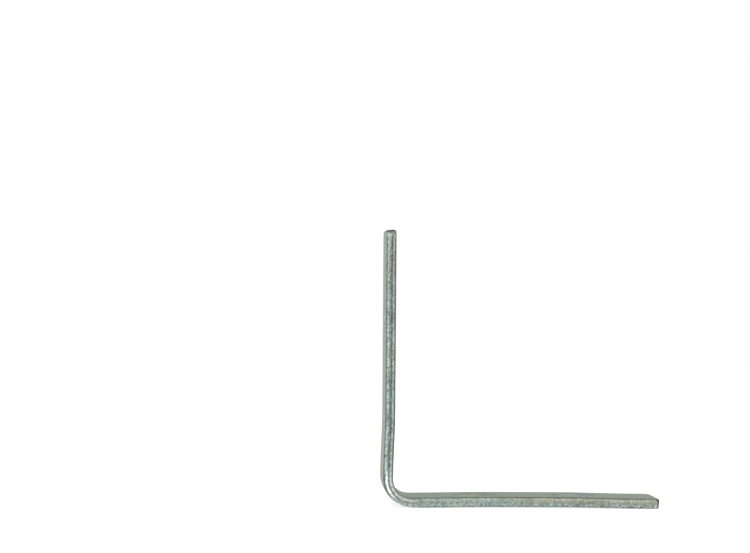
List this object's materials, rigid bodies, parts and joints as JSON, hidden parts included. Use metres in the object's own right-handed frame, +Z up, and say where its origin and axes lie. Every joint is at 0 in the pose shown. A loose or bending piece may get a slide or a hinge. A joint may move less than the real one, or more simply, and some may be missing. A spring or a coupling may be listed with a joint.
{
  "type": "folded angle bracket",
  "caption": "Corner brace folded square from one narrow zinc-plated steel strip, with equal legs, a rounded fold and screw holes countersunk from the inside of the angle.",
  "frame": {"origin": "middle of the base leg's outer face, which is the centre of the bounding box's underside", "axes": "+Z up along the upright leg, +X along the base leg towards its free end, Y across the width of the strip"},
  "size_m": [0.05, 0.015, 0.05],
  "materials": {
    "zinc_plated_steel": "bright zinc plating over rolled and sheared mild steel, satin faces with fine rolling lines, rougher grey shear zone along the edges"
  },
  "bodies": {
    "root": {"angle_bracket": "zinc_plated_steel"}
  },
  "joints": []
}
